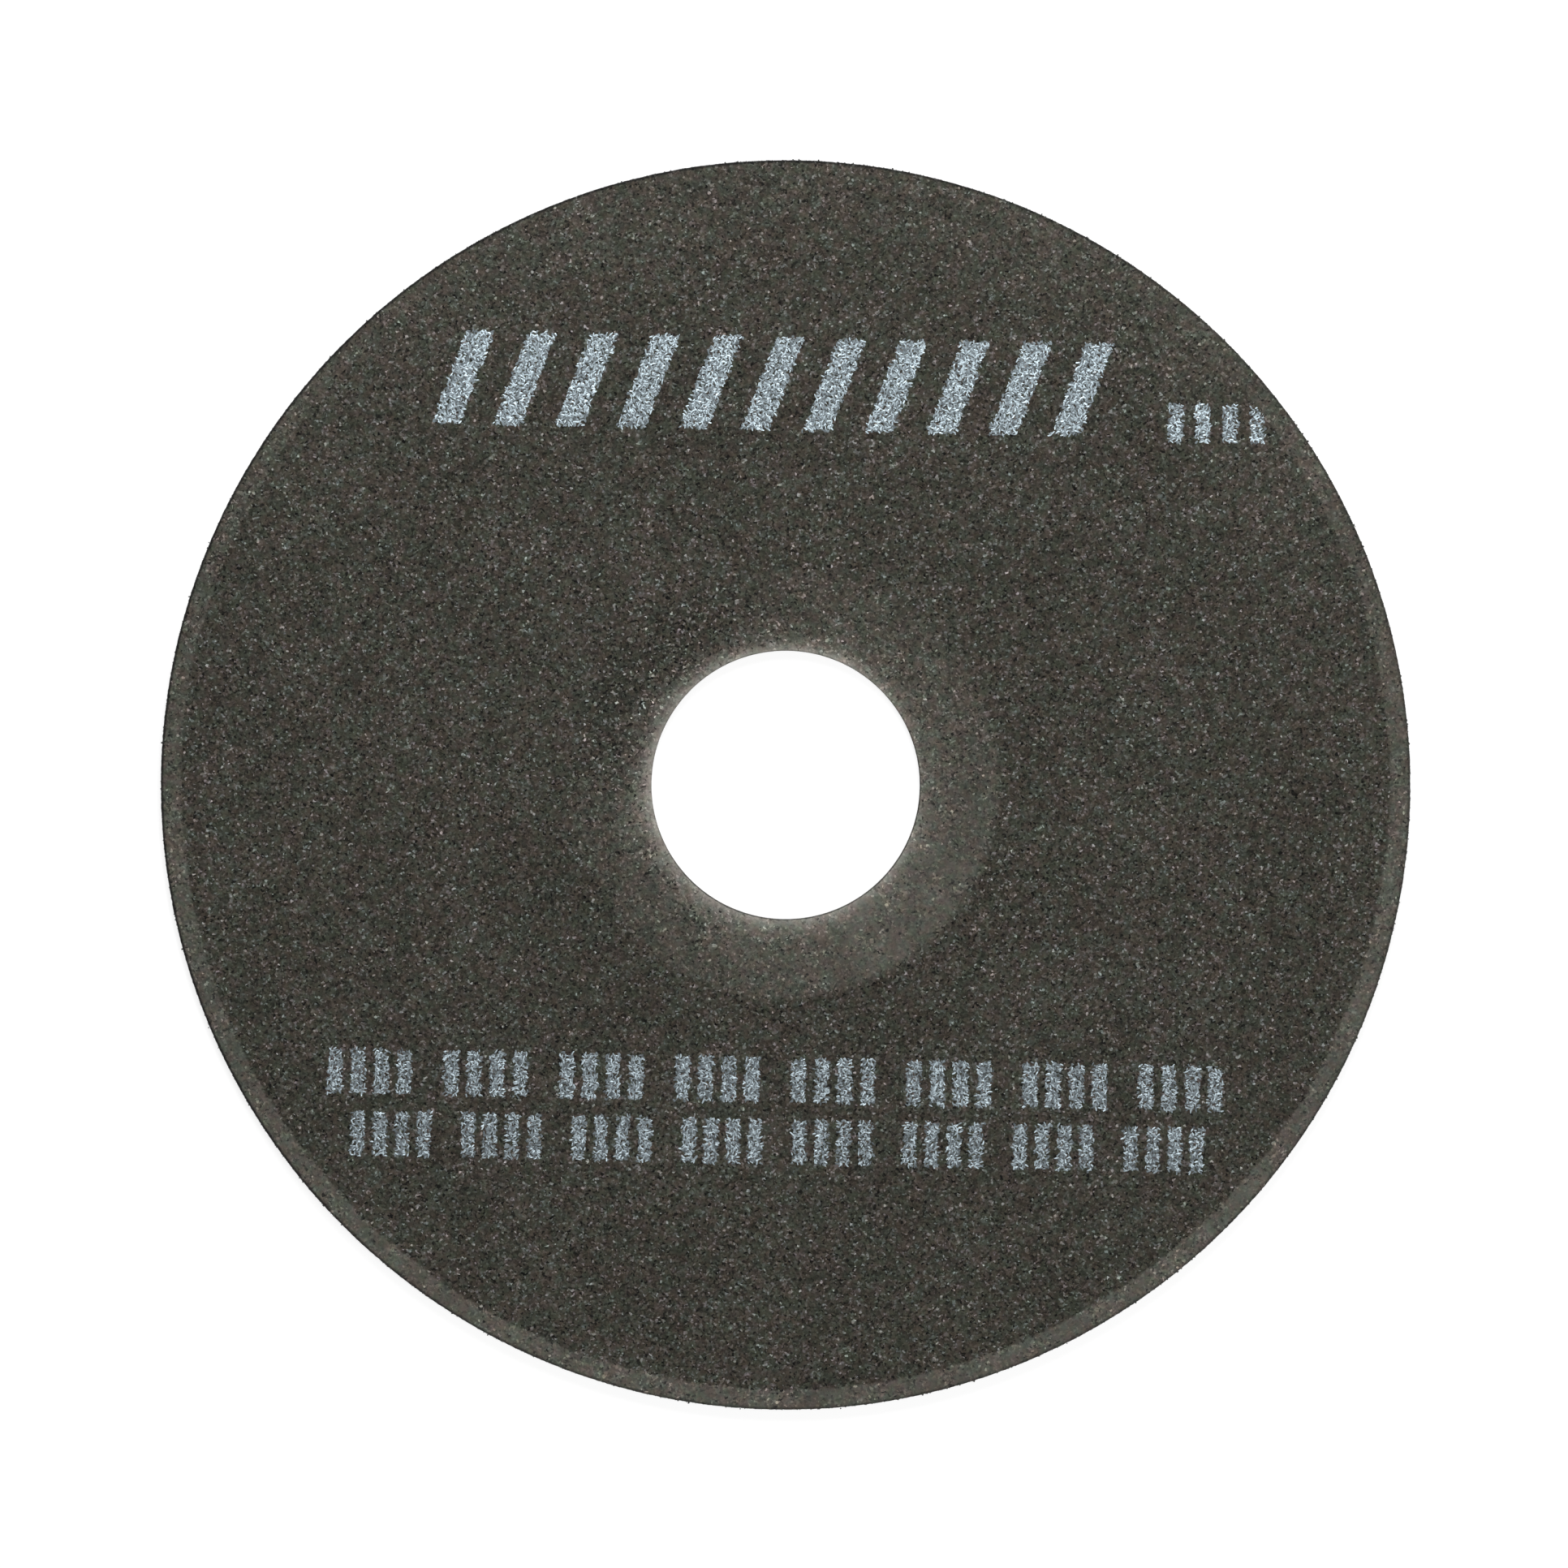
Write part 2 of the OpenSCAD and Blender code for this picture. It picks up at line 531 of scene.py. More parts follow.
def abrasive_material(sizes, colours):
    """Dark grain in resin, with the smooth hub band, bore lip and rim band picked out by radius, painted
    sheen and shade that vary round the wheel, and painted shade in the pits and at the corners.
    """
    weaver = Weaver("bonded_abrasive")
    radius = weaver.worn(weaver.radius(), "band_wear", BAND_WEAR)
    radius = weaver.worn(radius, "band_wander", BAND_WANDER)
    on_hub, torn_and_shaded = hub_masks(weaver, radius)
    on_lip = lip_mask(weaver, radius)
    torn_and_shaded = weaver.math("MULTIPLY", torn_and_shaded, weaver.math("SUBTRACT", 1.0, on_lip))
    on_band = weaver.math("MAXIMUM", rim_mask(weaver, radius, sizes), on_hub)
    pressed = weaver.math("MAXIMUM", on_band, on_lip)

    place = weaver.warped(BENDS_PER_M, BEND_REACH)
    grain = weaver.cells(GRAINS_PER_M, place)
    pick = weaver.channel(grain.outputs["Color"], "Red")
    tone = weaver.ramp(pick, *((share, level / TONE_TOP) for share, level in TONE_STOPS))
    tone = weaver.math("MULTIPLY", tone, TONE_TOP)
    contrast = weaver.mix_value(torn_and_shaded, 1.0, TORN_CONTRAST)
    patches = weaver.remap(weaver.noise("grain_patches"), *BAND_CONTRAST)
    contrast = weaver.mix_value(on_band, contrast, patches)
    contrast = weaver.mix_value(on_lip, contrast, LIP_CONTRAST)
    tone = weaver.math("POWER", tone, contrast)
    # Painted shade on the torn part of the hub band
    tone = weaver.math("MULTIPLY", tone, weaver.mix_value(torn_and_shaded, 1.0, TORN_PAINTED_SHADE))
    tone = weaver.math("MULTIPLY", tone, cloudy_tone(weaver))

    colour = weaver.mix(weaver.remap(tone, *PALE_TONES), tuple(colours.face), tuple(colours.speck))
    colour = weaver.mix(on_band, colour, tuple(colours.band))
    colour = weaver.mix(on_lip, colour, tuple(colours.lip))
    # Dust and painted shade along the corners
    colour = weaver.mix(corner_shade_lines(weaver, sizes), colour, tuple(colours.corner))
    colour = weaver.tinted(colour, mix_tint(weaver), weaver.mix_value(on_lip, 1.0, LIP_TINT))
    colour = weaver.tinted(colour, weaver.grey(tone))

    roughness = weaver.mix_value(pressed, weaver.ramp(pick, *GLOSS_STOPS), PRESSED_ROUGHNESS)
    height = facet_height(weaver, grain, place, weaver.mix_value(pressed, OPEN_LEAN, PRESSED_LEAN))
    normal = weaver.bump(height, distance=1.0, strength=1.0)
    return weaver.surface(colour, roughness, normal, specular=RESIN_SPECULAR)


# Bare grain and ink

# Refraction of fused alumina
CRYSTAL_IOR = 1.76

# Cells that set the looks of the bare grains, to the metre, and their shift
CRYSTALS_PER_M = 2600.0
CRYSTAL_SHIFT = (0.21, 0.13, 0.05)

# Bare grains: how light they are, what their flaws change, how rough they are and the tint of the brown ones
CRYSTAL_STOPS = ((0.0, 0.35), (0.6, 0.6), (1.0, 1.0))
CRYSTAL_FLAWS = (0.8, 1.2)
CRYSTAL_ROUGHNESS = (0.12, 0.5)
BROWN = (1.19, 0.95, 0.90)

# Name of the attribute that holds the tone of each fleck of ink
TONE_NAME = "tone"

# Ink: what its mottle changes, its roughness from dull to bright flecks, and how metallic it is
INK_MOTTLE = (0.75, 1.2)
INK_ROUGHNESS = (0.6, 0.34)
INK_METAL = 0.25


def grain_material(name, colour):
    """Bare crystalline grain: some of it browner, some darker, with bright facets."""
    weaver = Weaver(name)
    cell = weaver.cells(CRYSTALS_PER_M, weaver.vector("ADD", weaver.place, CRYSTAL_SHIFT)).outputs["Color"]
    light = weaver.ramp(weaver.channel(cell, "Red"), *CRYSTAL_STOPS)
    flaws = weaver.remap(weaver.noise("crystal_flaws"), *NOISE_SPAN, *CRYSTAL_FLAWS)
    brown = tuple(level * share for level, share in zip(colour, BROWN))
    tint = weaver.mix(weaver.channel(cell, "Green"), tuple(colour), brown)
    shade = weaver.tinted(tint, weaver.grey(weaver.math("MULTIPLY", light, flaws)))
    roughness = weaver.remap(weaver.channel(cell, "Blue"), 0.0, 1.0, *CRYSTAL_ROUGHNESS)
    return weaver.surface(shade, roughness, ior=CRYSTAL_IOR)


def ink_material(name, colour):
    """Silver-blue ink: each fleck has its own tone, brightest where it caught on the tops of the grain."""
    weaver = Weaver(name)
    tone = weaver.node("ShaderNodeAttribute", attribute_name=TONE_NAME).outputs["Fac"]
    mottle = weaver.remap(weaver.noise("ink_mottle"), *NOISE_SPAN, *INK_MOTTLE)
    shade = weaver.tinted(tuple(colour), weaver.grey(weaver.math("MULTIPLY", tone, mottle)))
    roughness = weaver.remap(tone, 0.0, 1.0, *INK_ROUGHNESS)
    return weaver.surface(shade, roughness, metallic=INK_METAL)


# Finished pieces and their maps

# Edge left round a UV map, and the size of the underside on the disc's map against the upper side
MAP_MARGIN = 0.004
LOWER_SHARE = 0.65


def finished(name, bm, material, smooth):
    """Turns a bmesh into a piece that rides on the wheel's body."""
    mesh = bpy.data.meshes.new(name)
    bm.to_mesh(mesh)
    bm.free()
    mesh.materials.append(material)
    mesh.polygons.foreach_set("use_smooth", [smooth] * len(mesh.polygons))
    piece = bpy.data.objects.new(name, mesh)
    bpy.context.scene.collection.objects.link(piece)
    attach(piece, BODY)
    return piece


def corner_points(mesh):
    """The point at each corner of a mesh's faces."""
    points = np.empty(len(mesh.loops), dtype=np.int32)
    mesh.loops.foreach_get("vertex_index", points)
    return points


def unfolded(mesh, upper=True):
    """Each point as seen from above or below, with the two walls of the wheel folded outwards."""
    places = np.empty(len(mesh.vertices) * 3)
    mesh.vertices.foreach_get("co", places)
    places = places.reshape(-1, 3)
    radius = np.hypot(places[:, 0], places[:, 1])
    drop = HIGH.z - places[:, 2] if upper else places[:, 2] - LOW.z
    outward = np.where(radius > (BORE_R + WHEEL_R) / 2, 1.0, -1.0)
    flat = places[:, :2] * (1.0 + outward * drop / radius)[:, None]
    return flat if upper else flat * (-1.0, 1.0)


def add_map(mesh, flat):
    """Gives a mesh the UV map that its materials are baked through, from a place for each corner."""
    low, high = flat.min(axis=0), flat.max(axis=0)
    inside = MAP_MARGIN + (1.0 - 2.0 * MAP_MARGIN) * (flat - low) / (high - low)
    mesh.uv_layers.new(name="OFBake").uv.foreach_set("vector", inside.ravel())


def add_flat_map(mesh, upper=True):
    """Gives a mesh a map as seen from above or below."""
    add_map(mesh, unfolded(mesh, upper)[corner_points(mesh)])


def add_two_sided_map(mesh):
    """Gives the disc a map with its upper half large, and its lower half smaller beside it."""
    points = corner_points(mesh)
    centres = np.empty(len(mesh.polygons) * 3)
    mesh.polygons.foreach_get("center", centres)
    sides = np.empty(len(mesh.polygons), dtype=np.int32)
    mesh.polygons.foreach_get("loop_total", sides)
    on_top = np.repeat(centres[2::3] > MID_Z, sides)
    aside = (WHEEL_R + WHEEL_T) * (1.0 + LOWER_SHARE) / math.sqrt(2.0)
    lower = unfolded(mesh, upper=False) * LOWER_SHARE + (aside, -aside)
    add_map(mesh, np.where(on_top[:, None], unfolded(mesh)[points], lower[points]))


# Disc

# The disc is spun as one sector and then copied round, and its seams are merged within this distance
SECTORS = 36
SEAM = 0.001 * MM

# Edges in a rounded corner of the section, and lengths of the edges elsewhere
CORNER_EDGES = 3
RIM_PITCH = 0.22 * MM
BAND_PITCH = 0.5 * MM
HUB_PITCH = 2.5 * MM
FACE_PITCH = 9.0 * MM

# Noises that roughen the disc, per metre, and how the finer grit is added to the coarse grit
COARSE_GRIT = 3100.0
FINE_GRIT = 5200.0
FINE_SHARE = 0.5
FINE_SHIFT = Vector((7.0, 3.0, 1.0))
WAVES = 45.0

# How much of the rim and the bore is roughened, in corner radii
EDGE_REACH = 1.5

# Rim: how far it is set back, how far grit moves its wall and its corners, and the most that grit counts
RIM_BACK = 0.045 * MM
RIM_ROUGH = 0.055 * MM
CORNER_ROUGH = 0.02 * MM
RIM_GRIT_MOST = 0.55

# Bore and faces: how far the bore is set back, and how far grit moves it and waves move the faces
BORE_BACK = 0.006 * MM
BORE_ROUGH = 0.010 * MM
FACE_WAVE = 0.008 * MM


def section_corners(sizes):
    """Corner points of the half section, in order: the upper face outwards, then the lower face inwards."""
    rim_band_r = WHEEL_R - sizes.rim_band_w
    upper = (
        (BORE_R, WHEEL_T),
        (HUB_BAND_R, WHEEL_T),
        (HUB_BAND_R + sizes.slope_w, WHEEL_T - sizes.relief),
        (rim_band_r - sizes.slope_w, WHEEL_T - sizes.relief),
        (rim_band_r, WHEEL_T),
        (WHEEL_R, WHEEL_T),
    )
    lower = tuple((r, WHEEL_T - z) for r, z in reversed(upper))
    return upper + lower


def section_pitch(middle, sizes):
    """Wanted length of an edge of the section around that point."""
    if middle.x > WHEEL_R - sizes.rim_edge_r:
        return RIM_PITCH
    if middle.x > WHEEL_R - sizes.rim_band_w or middle.x < BORE_R + BORE_EDGE_R:
        return BAND_PITCH
    return HUB_PITCH if middle.x < HUB_BAND_R else FACE_PITCH


def section_loop(bm, sizes):
    """The closed outline of the half section, with rounded corners and enough points for grain."""
    loop = [bm.verts.new((r, 0.0, z + LOW.z)) for r, z in section_corners(sizes)]
    for index, vert in enumerate(loop):
        bm.edges.new((loop[index - 1], vert))
    half = len(loop) // 2
    corners = {loop[0]: BORE_EDGE_R, loop[-1]: BORE_EDGE_R}
    corners.update({loop[half - 1]: sizes.rim_edge_r, loop[half]: sizes.rim_edge_r})
    for corner, radius in corners.items():
        bmesh.ops.bevel(
            bm,
            geom=[corner],
            offset=radius,
            offset_type="OFFSET",
            affect="VERTICES",
            segments=CORNER_EDGES,
            profile=0.5,
            material=-1,
        )
    for edge in list(bm.edges):
        middle = (edge.verts[0].co + edge.verts[1].co) / 2
        cuts = round(edge.calc_length() / section_pitch(middle, sizes)) - 1
        if cuts > 0:
            bmesh.ops.subdivide_edges(bm, edges=[edge], cuts=cuts)


def roughen(vert, sizes):
    """Moves a point of the disc by the roughness of the place that it is in."""
    radius = math.hypot(vert.co.x, vert.co.y)
    outward = Vector((vert.co.x / radius, vert.co.y / radius, 0.0))
    inward = -1.0 if vert.co.z > MID_Z else 1.0
    grit = noise.noise(vert.co * COARSE_GRIT) + FINE_SHARE * noise.noise(vert.co * FINE_GRIT + FINE_SHIFT)
    wave = noise.noise(vert.co * WAVES)
    if WHEEL_R - radius < sizes.rim_edge_r * EDGE_REACH:
        vert.co += outward * (min(grit, RIM_GRIT_MOST) * RIM_ROUGH - RIM_BACK)
        vert.co.z += inward * CORNER_ROUGH * grit
    elif radius - BORE_R < BORE_EDGE_R * EDGE_REACH:
        vert.co += outward * (BORE_ROUGH * grit + BORE_BACK)
    else:
        vert.co.z += inward * FACE_WAVE * (1.0 + wave)


def sort_faces(bm):
    """Puts the faces in the order of their points, because spin adds them in a new order on every run."""
    bm.verts.index_update()
    total = len(bm.verts)

    def rank(face):
        first, second, *_, last = sorted(vert.index for vert in face.verts)
        return (last * total + first) * total + second

    bm.faces.sort(key=rank)


def build_disc(sizes):
    """The bonded disc: its section spun round the bore axis, then roughened."""
    bm = bmesh.new()
    section_loop(bm, sizes)
    sector = math.tau / SECTORS
    about = {"cent": (0.0, 0.0, 0.0), "axis": (0.0, 0.0, 1.0), "dvec": (0.0, 0.0, 0.0)}
    bmesh.ops.spin(bm, geom=bm.verts[:] + bm.edges[:], angle=sector, steps=sizes.steps // SECTORS, **about)
    whole = bm.verts[:] + bm.edges[:] + bm.faces[:]
    bmesh.ops.spin(bm, geom=whole, angle=math.tau - sector, steps=SECTORS - 1, use_duplicate=True, **about)
    bmesh.ops.remove_doubles(bm, verts=bm.verts[:], dist=SEAM)
    for vert in bm.verts:
        roughen(vert, sizes)
    bmesh.ops.recalc_face_normals(bm, faces=bm.faces[:])
    sort_faces(bm)
    return bm


# Grit

# Seeds of the random draws
UPPER_SEED = 11
LOWER_SEED = 23
RIM_SEED = 37

# Crystals: how many shapes there are, their sides, and how uneven they are
CRYSTAL_COUNT = 7
CRYSTAL_SIDES = 5
CRYSTAL_SWELL = (0.78, 1.18)

# Radius of a grain against the usual one: its spread, the least and the most
GRAIN_SPREAD = 0.26
GRAIN_LEAST = 0.55
GRAIN_MOST = 1.7

# Faces: how far a grain is sunk below the surface, and the most that it comes up again
FACE_SINK = 0.012 * MM
FACE_SHOW = 0.062 * MM
BAND_SINK = 0.008 * MM
BAND_SHOW = 0.012 * MM

# Faces: the least share of that, a grain's depth in radii, and the bare width around the bore
LEAST_SHOW = 0.2
FACE_DEPTH = 1.1
LIP_BARE_W = 1.2 * MM

# Rim: a grain's depth in radii, and how far every grain, a few grains and rare nubs stand out
RIM_DEPTH = 0.9
RIM_SHOW = 0.02 * MM
RIM_STAND = 0.09 * MM
RIM_NUB = 0.15 * MM

# Rim: how rare the few grains and the nubs are, as powers of an even chance
RIM_STAND_POWER = 4
RIM_NUB_POWER = 120


def small_shapes(draws, name, count, sides, swell, stretch=(1.0, 1.0, 1.0)):
    """A few irregular shapes of radius about 1, each with twice as many facets as sides."""
    shapes = []
    for index in range(count):
        bm = bmesh.new()
        bmesh.ops.create_uvsphere(bm, u_segments=sides, v_segments=2, radius=1.0)
        for vert in bm.verts:
            vert.co *= draws.uniform(*swell)
        bmesh.ops.scale(bm, vec=stretch, verts=bm.verts[:])
        mesh = bpy.data.meshes.new(f"{name}_{index}")
        bm.to_mesh(mesh)
        bm.free()
        shapes.append(mesh)
    return shapes


def grain_shapes(draws):
    """The crystals that the grains are stamped from."""
    return small_shapes(draws, "crystal", CRYSTAL_COUNT, CRYSTAL_SIDES, CRYSTAL_SWELL)


def stamp(bm, shape, spot, turn, size):
    """Adds a copy of a small mesh, turned and sized, and leaves the mesh as it was."""
    place = Matrix.Translation(spot) @ turn @ Matrix.Diagonal((size, size, size, 1.0))
    shape.transform(place)
    bm.from_mesh(shape)
    shape.transform(place.inverted())


def discard(shapes):
    """Removes meshes that were only stamped."""
    for mesh in shapes:
        bpy.data.meshes.remove(mesh)


def grain_size(draws, usual):
    """Radius of one grain: most are near the usual size, a few are larger."""
    return usual * min(GRAIN_MOST, max(GRAIN_LEAST, draws.lognormvariate(0.0, GRAIN_SPREAD)))


def around_axis(radius, angle, height=0.0):
    """A point at a distance from the bore axis."""
    return Vector((radius * math.cos(angle), radius * math.sin(angle), height))


def in_ring(draws, inner, outer):
    """A point spread evenly over a ring."""
    radius = math.sqrt(draws.uniform(inner * inner, outer * outer))
    return around_axis(radius, draws.uniform(0.0, math.tau))


def put_grain(bm, draws, shapes, spot, size):
    """Stamps one grain with a random shape and turn."""
    angles = [draws.uniform(0.0, math.tau) for _ in range(3)]
    turn = Euler(angles).to_matrix().to_4x4()
    stamp(bm, draws.choice(shapes), spot, turn, size)


def build_face_grit(sizes, grit, upper):
    """Grains that stand out of one face: many on the open face, few and low on the smooth bands."""
    draws = random.Random(UPPER_SEED if upper else LOWER_SEED)
    shapes = grain_shapes(draws)
    outward = 1.0 if upper else -1.0
    level = HIGH.z if upper else LOW.z
    rim_band_r = WHEEL_R - sizes.rim_band_w
    rings = (
        (grit.on_face, HUB_BAND_R, rim_band_r, sizes.relief + FACE_SINK, FACE_SHOW),
        (grit.on_band, BORE_R + LIP_BARE_W, HUB_BAND_R, BAND_SINK, BAND_SHOW),
        (grit.on_band // 2, rim_band_r, WHEEL_R - 2 * sizes.rim_edge_r, BAND_SINK, BAND_SHOW),
    )
    bm = bmesh.new()
    for count, inner, outer, sunk, most in rings:
        for _ in range(count):
            size = grain_size(draws, grit.grain_r)
            show = draws.uniform(LEAST_SHOW, 1.0) * most
            spot = in_ring(draws, inner, outer)
            spot.z = level - outward * (sunk + size * FACE_DEPTH - show)
            put_grain(bm, draws, shapes, spot, size)
    discard(shapes)
    return bm


def build_rim_grit(grit):
    """Grains at the cut edge: they roughen its wall and its two corners."""
    draws = random.Random(RIM_SEED)
    shapes = grain_shapes(draws)
    bm = bmesh.new()
    for _ in range(grit.on_rim):
        size = grain_size(draws, grit.grain_r)
        angle = draws.uniform(0.0, math.tau)
        chance = draws.random()
        show = RIM_SHOW + RIM_STAND * chance**RIM_STAND_POWER + RIM_NUB * chance**RIM_NUB_POWER
        radius = WHEEL_R - RIM_BACK - size * RIM_DEPTH + show
        height = draws.uniform(LOW.z + size, HIGH.z - size)
        put_grain(bm, draws, shapes, around_axis(radius, angle, height), size)
    discard(shapes)
    return bm


# Print: stripes only, each a slanted block (centre x, centre y, width, height, lean)

# Seeds of the random draws
STRIPES_SEED = 41
DASHES_SEED = 53

# Flecks of ink: how many shapes each layer has, their sides, how uneven they are and how their sizes vary
FLECK_COUNT = 9
FLECK_SIDES = 6
FLECK_SWELL = (0.75, 1.15)
FLECK_SIZES = (0.75, 1.25)

# A fleck's usual and greatest lean, its rise at most, and its least depth below the wheel's top in radii
FLECK_LEAN = 0.12
FLECK_LEAN_MOST = 0.2
FLECK_RISE = 0.016 * MM
FLECK_TOP = 0.3

# The two layers of ink: stretch of a fleck, its size against the usual one, its lift, and its tone (dullest,
# brightest, and a power that makes the bright ones rarer)
FILM = ((1.35, 0.85, 0.20), 1.5, -0.012 * MM, (0.13, 0.40, 1.0))
SLIVERS = ((1.75, 0.58, 0.24), 1.0, 0.006 * MM, (0.16, 1.18, 1.25))

# Ragged edge of a block: its depth, its noise to the metre and the slice of that noise
INK_RAGGED = 0.16 * MM
INK_RAGS_PER_M = 2300.0
INK_RAG_SLICE = 0.3

# Share of the flecks that took on a block and along its edge, and the width of that edge
INK_TAKE = 0.93
INK_EDGE_TAKE = 0.6
INK_EDGE_W = 0.22 * MM


def slanted_row(first, last, middle, count, width, height, lean):
    """A row of equal slanted blocks between two places."""
    pitch = (last - first - width) / (count - 1)
    return [(first + width / 2 + pitch * i, middle, width, height, lean) for i in range(count)]


def dash_groups(first, middle, groups, each, pitch, width, height):
    """A row of equal groups of short upright dashes, with a gap of one dash after each group."""
    places = [first + pitch * (group * (each + 1) + dash) for group in range(groups) for dash in range(each)]
    return [(place + width / 2, middle, width, height, 0.0) for place in places]


def top_stripes():
    """Bold slanted stripes above the bore, and four small dashes beside them."""
    bold = slanted_row(
        first=-41.4 * MM,
        last=36.3 * MM,
        middle=48.1 * MM,
        count=11,
        width=3.4 * MM,
        height=11.2 * MM,
        lean=0.36,
    )
    small = slanted_row(
        first=45.0 * MM,
        last=56.6 * MM,
        middle=44.4 * MM,
        count=4,
        width=1.75 * MM,
        height=4.6 * MM,
        lean=0.0,
    )
    return bold + small


def low_dashes():
    """Two rows of short dashes below the bore, in groups of four."""
    alike = {"groups": 8, "each": 4, "height": 5.4 * MM}
    upper = dash_groups(first=-54.2 * MM, middle=-35.4 * MM, pitch=2.78 * MM, width=1.75 * MM, **alike)
    lower = dash_groups(first=-51.3 * MM, middle=-42.8 * MM, pitch=2.65 * MM, width=1.65 * MM, **alike)
    return upper + lower


def ink_take(right, up, edge):
    """Share of the flecks that took at a place, by its distance from the edge of the block."""
    ragged = noise.noise(Vector((right, up, INK_RAG_SLICE)) * INK_RAGS_PER_M)
    inside = edge + INK_RAGGED * ragged
    if inside > INK_EDGE_W:
        return INK_TAKE
    return INK_EDGE_TAKE if inside > 0.0 else 0.0


def ink_flecks(draws, block, gap):
    """Spots for flecks of ink over one block, spaced unevenly and thinned towards its edge."""
    x, y, width, height, lean = block
    columns = max(2, round(width / gap))
    rows = max(2, round(height / gap))
    spots = []
    for column in range(-1, columns + 1):
        for row in range(-1, rows + 1):
            across = (column + 0.5 + draws.uniform(-0.5, 0.5)) / columns - 0.5
            along = (row + 0.5 + draws.uniform(-0.5, 0.5)) / rows - 0.5
            edge = min((0.5 - abs(across)) * width, (0.5 - abs(along)) * height)
            right = x + across * width
            up = y + along * height
            if draws.random() < ink_take(right, up, edge):
                spots.append(Vector((right + lean * along * height, up, 0.0)))
    return spots


def face_level(sizes, radius):
    """Height of the upper face at a distance from the bore axis."""
    rise = radius - (WHEEL_R - sizes.rim_band_w - sizes.slope_w)
    return HIGH.z - sizes.relief * (1.0 - min(1.0, max(0.0, rise / sizes.slope_w)))


def put_fleck(bm, draws, shapes, spot, size):
    """Stamps one flat sliver of ink with a random shape, lean and turn."""
    lean = [max(-FLECK_LEAN_MOST, min(FLECK_LEAN_MOST, draws.gauss(0.0, FLECK_LEAN))) for _ in range(2)]
    turn = Euler((*lean, draws.uniform(0.0, math.tau))).to_matrix().to_4x4()
    stamp(bm, draws.choice(shapes), spot, turn, size)


def build_print(sizes, print_sizes, blocks, seed):
    """Ink on the open face, and each fleck's tone: a dull film, with bright slivers on top of the grain."""
    draws = random.Random(seed)
    layers = []
    for stretch, *layer in (FILM, SLIVERS):
        shapes = small_shapes(draws, "fleck", FLECK_COUNT, FLECK_SIDES, FLECK_SWELL, stretch)
        layers.append((shapes, *layer))
    turn = Matrix.Rotation(print_sizes.tilt, 4, "Z")
    tones = []
    bm = bmesh.new()
    for block in blocks:
        for shapes, spread, lift, (dullest, brightest, rarity) in layers:
            for spot in ink_flecks(draws, block, print_sizes.flake_gap * spread):
                spot = turn @ spot
                size = print_sizes.flake_r * spread * draws.uniform(*FLECK_SIZES)
                height = face_level(sizes, spot.xy.length) + lift + draws.uniform(0.0, FLECK_RISE)
                spot.z = min(height, HIGH.z - FLECK_TOP * size)
                put_fleck(bm, draws, shapes, spot, size)
                tones.append(dullest + (brightest - dullest) * draws.random() ** rarity)
    for shapes, *_ in layers:
        discard(shapes)
    return bm, tones


def add_tones(mesh, tones):
    """Gives every point of a fleck the tone of that fleck. All flecks have the same number of points."""
    points = np.repeat(tones, len(mesh.vertices) // len(tones))
    mesh.attributes.new(TONE_NAME, "FLOAT", "POINT").data.foreach_set("value", points)


# Stage

# Floor: its greys, how far it lies below the wheel and its squares along a side
FLOOR_GREYS = (0.345, 0.355)
FLOOR_DROP = 0.03 * MM
FLOOR_SQUARES = 8

# Glow of the floor to the camera: two distances from the bore axis, and the levels there
FLOOR_GLOW = (1.4 * WHEEL_R, 8.0 * WHEEL_R, 0.80, 0.95)

# Soft lamps: name, place and width in metres, and watts
LAMPS = (
    ("lamp_top", (-0.02, 0.32, 0.34), 0.28, 1.71),
    ("lamp_low_right", (0.17, -0.16, 0.60), 0.22, 1.36),
)

# Strength of the light from all round
WORLD_LEVEL = 0.19

# Camera: its place beside the bore axis, its sensor in millimetres, and how far it sees
CAMERA_X = -0.19 * MM
CAMERA_Y = 0.11 * MM
SENSOR_W = 36.0
FARTHEST = 20.0


def floor_material():
    """Pale floor that reads white to the camera and keeps the shadow of the wheel."""
    weaver = Weaver("white_floor")
    paper = weaver.remap(weaver.noise("paper"), *NOISE_SPAN, *FLOOR_GREYS)
    sheet = weaver.node("ShaderNodeBsdfDiffuse")
    weaver.feed(sheet.inputs["Color"], weaver.grey(paper))
    glow = weaver.node("ShaderNodeEmission")
    rays = weaver.node("ShaderNodeLightPath").outputs
    direct = weaver.math("MAXIMUM", rays["Is Camera Ray"], rays["Is Glossy Ray"])
    direct = weaver.math("MAXIMUM", direct, rays["Is Transmission Ray"])
    level = weaver.remap(weaver.radius(), *FLOOR_GLOW, smooth=True)
    weaver.feed(glow.inputs["Strength"], weaver.math("MULTIPLY", direct, level))
    total = weaver.node("ShaderNodeAddShader")
    weaver.feed(total.inputs[0], sheet.outputs[0])
    weaver.feed(total.inputs[1], glow.outputs[0])
    weaver.finish(total.outputs[0])
    return weaver.material


def build_floor(stage):
    """The floor that the wheel lies on."""
    bm = bmesh.new()
    half = stage.floor_w / 2
    bmesh.ops.create_grid(bm, x_segments=FLOOR_SQUARES, y_segments=FLOOR_SQUARES, size=half)
    bmesh.ops.translate(bm, vec=(0.0, 0.0, LOW.z - FLOOR_DROP), verts=bm.verts[:])
    mesh = bpy.data.meshes.new("floor")
    bm.to_mesh(mesh)
    bm.free()
    mesh.materials.append(floor_material())
    floor = bpy.data.objects.new("floor", mesh)
    bpy.context.scene.collection.objects.link(floor)


